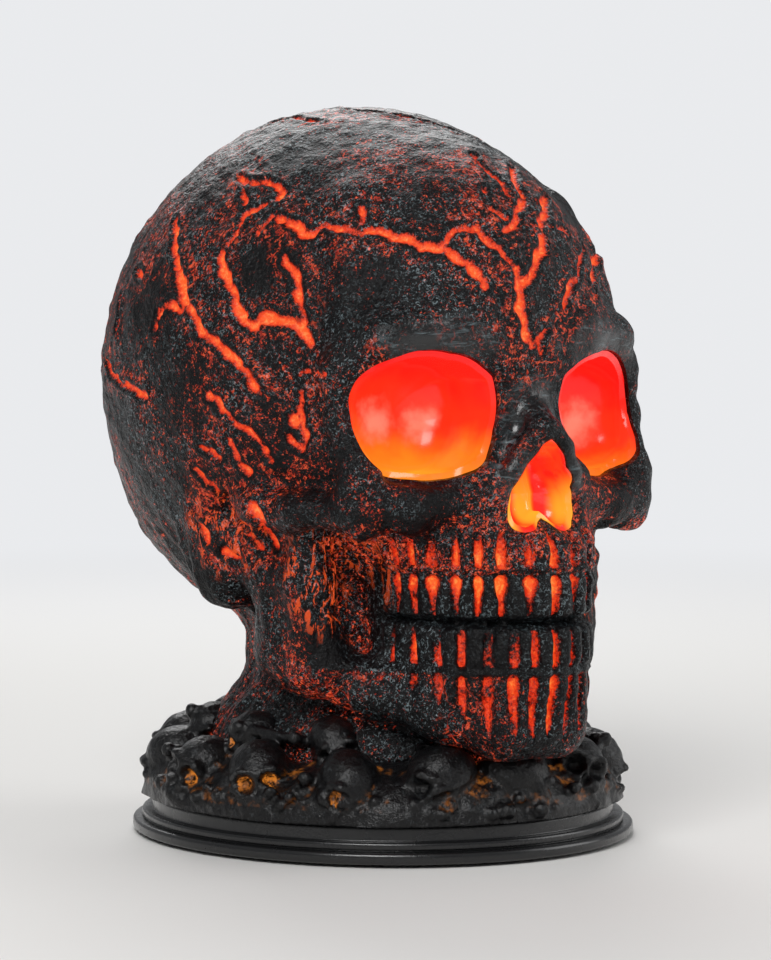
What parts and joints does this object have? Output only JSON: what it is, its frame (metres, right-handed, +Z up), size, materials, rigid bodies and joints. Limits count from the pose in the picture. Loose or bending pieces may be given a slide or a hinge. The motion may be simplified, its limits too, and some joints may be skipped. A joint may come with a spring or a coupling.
{
  "type": "skull lamp",
  "caption": "Life-size human skull night lamp on an oval plinth with a ring of small skulls, lit from inside; battery door and slide switch underneath.",
  "frame": {"origin": "middle of the lamp's overall box, on the plane that its rubber feet stand on", "axes": "+Z up; the face looks along -Y; the skull's own right side is at -X"},
  "size_m": [0.1526, 0.1992, 0.2264],
  "materials": {
    "painted_shell": "satin black paint over an unpainted translucent orange moulding that shows in the cracks, pits and between the teeth",
    "painted_ring": "satin black paint, rubbed grey on the high spots, with dim amber at the bottom of the pits",
    "glow_window": "smooth unpainted translucent orange, lit from behind, red above and orange below",
    "plinth_black": "smooth satin black with two turned beads",
    "cover_black": "fine spark-eroded grain",
    "cell_jacket": "plain printed sleeve with bare ends",
    "spring_steel": "nickel plated strip and spring",
    "screw_steel": "zinc plated",
    "switch_white": "plain moulded",
    "board_green": "solder mask",
    "chip_black": "moulded package",
    "led_amber": "clear epoxy, lit",
    "foot_rubber": "soft matt rubber",
    "wire_red": "insulated lead",
    "wire_black": "insulated lead"
  },
  "bodies": {
    "lamp": {"front_shell": "painted_shell", "back_shell": "painted_shell", "right_eye_window": "glow_window", "left_eye_window": "glow_window", "nose_window": "glow_window", "small_skull_ring": "painted_ring", "base_plinth": "plinth_black", "bottom_cover": "cover_black", "battery_right": "cell_jacket", "battery_middle": "cell_jacket", "battery_left": "cell_jacket", "positive_contact": "spring_steel", "front_cell_link": "spring_steel", "rear_cell_link": "spring_steel", "negative_contact": "spring_steel", "switch_housing": "cover_black", "light_board": "board_green", "flicker_chip": "chip_black", "led_1": "led_amber", "led_2": "led_amber", "led_3": "led_amber", "led_4": "led_amber", "cover_screw_1": "screw_steel", "cover_screw_2": "screw_steel", "cover_screw_3": "screw_steel", "cover_screw_4": "screw_steel", "shell_screw_1": "screw_steel", "shell_screw_2": "screw_steel", "shell_screw_3": "screw_steel", "shell_screw_4": "screw_steel", "board_screw_1": "screw_steel", "board_screw_2": "screw_steel", "rubber_foot_1": "foot_rubber", "rubber_foot_2": "foot_rubber", "rubber_foot_3": "foot_rubber", "rubber_foot_4": "foot_rubber", "positive_wire": "wire_red", "switch_wire": "wire_red", "negative_wire": "wire_black"},
    "knob": {"switch_knob": "switch_white"},
    "door": {"battery_door": "cover_black"}
  },
  "joints": [
    {"name": "switch_slide", "type": "slide", "parent": "lamp", "child": "knob", "axis": [0, 1, 0], "range_m": [0, 0.003]},
    {"name": "door_hinge", "type": "hinge", "parent": "lamp", "child": "door", "pos_m": [0, -0.03434, 0.0036], "axis": [-1, 0, 0], "range_deg": [0, 90]}
  ]
}
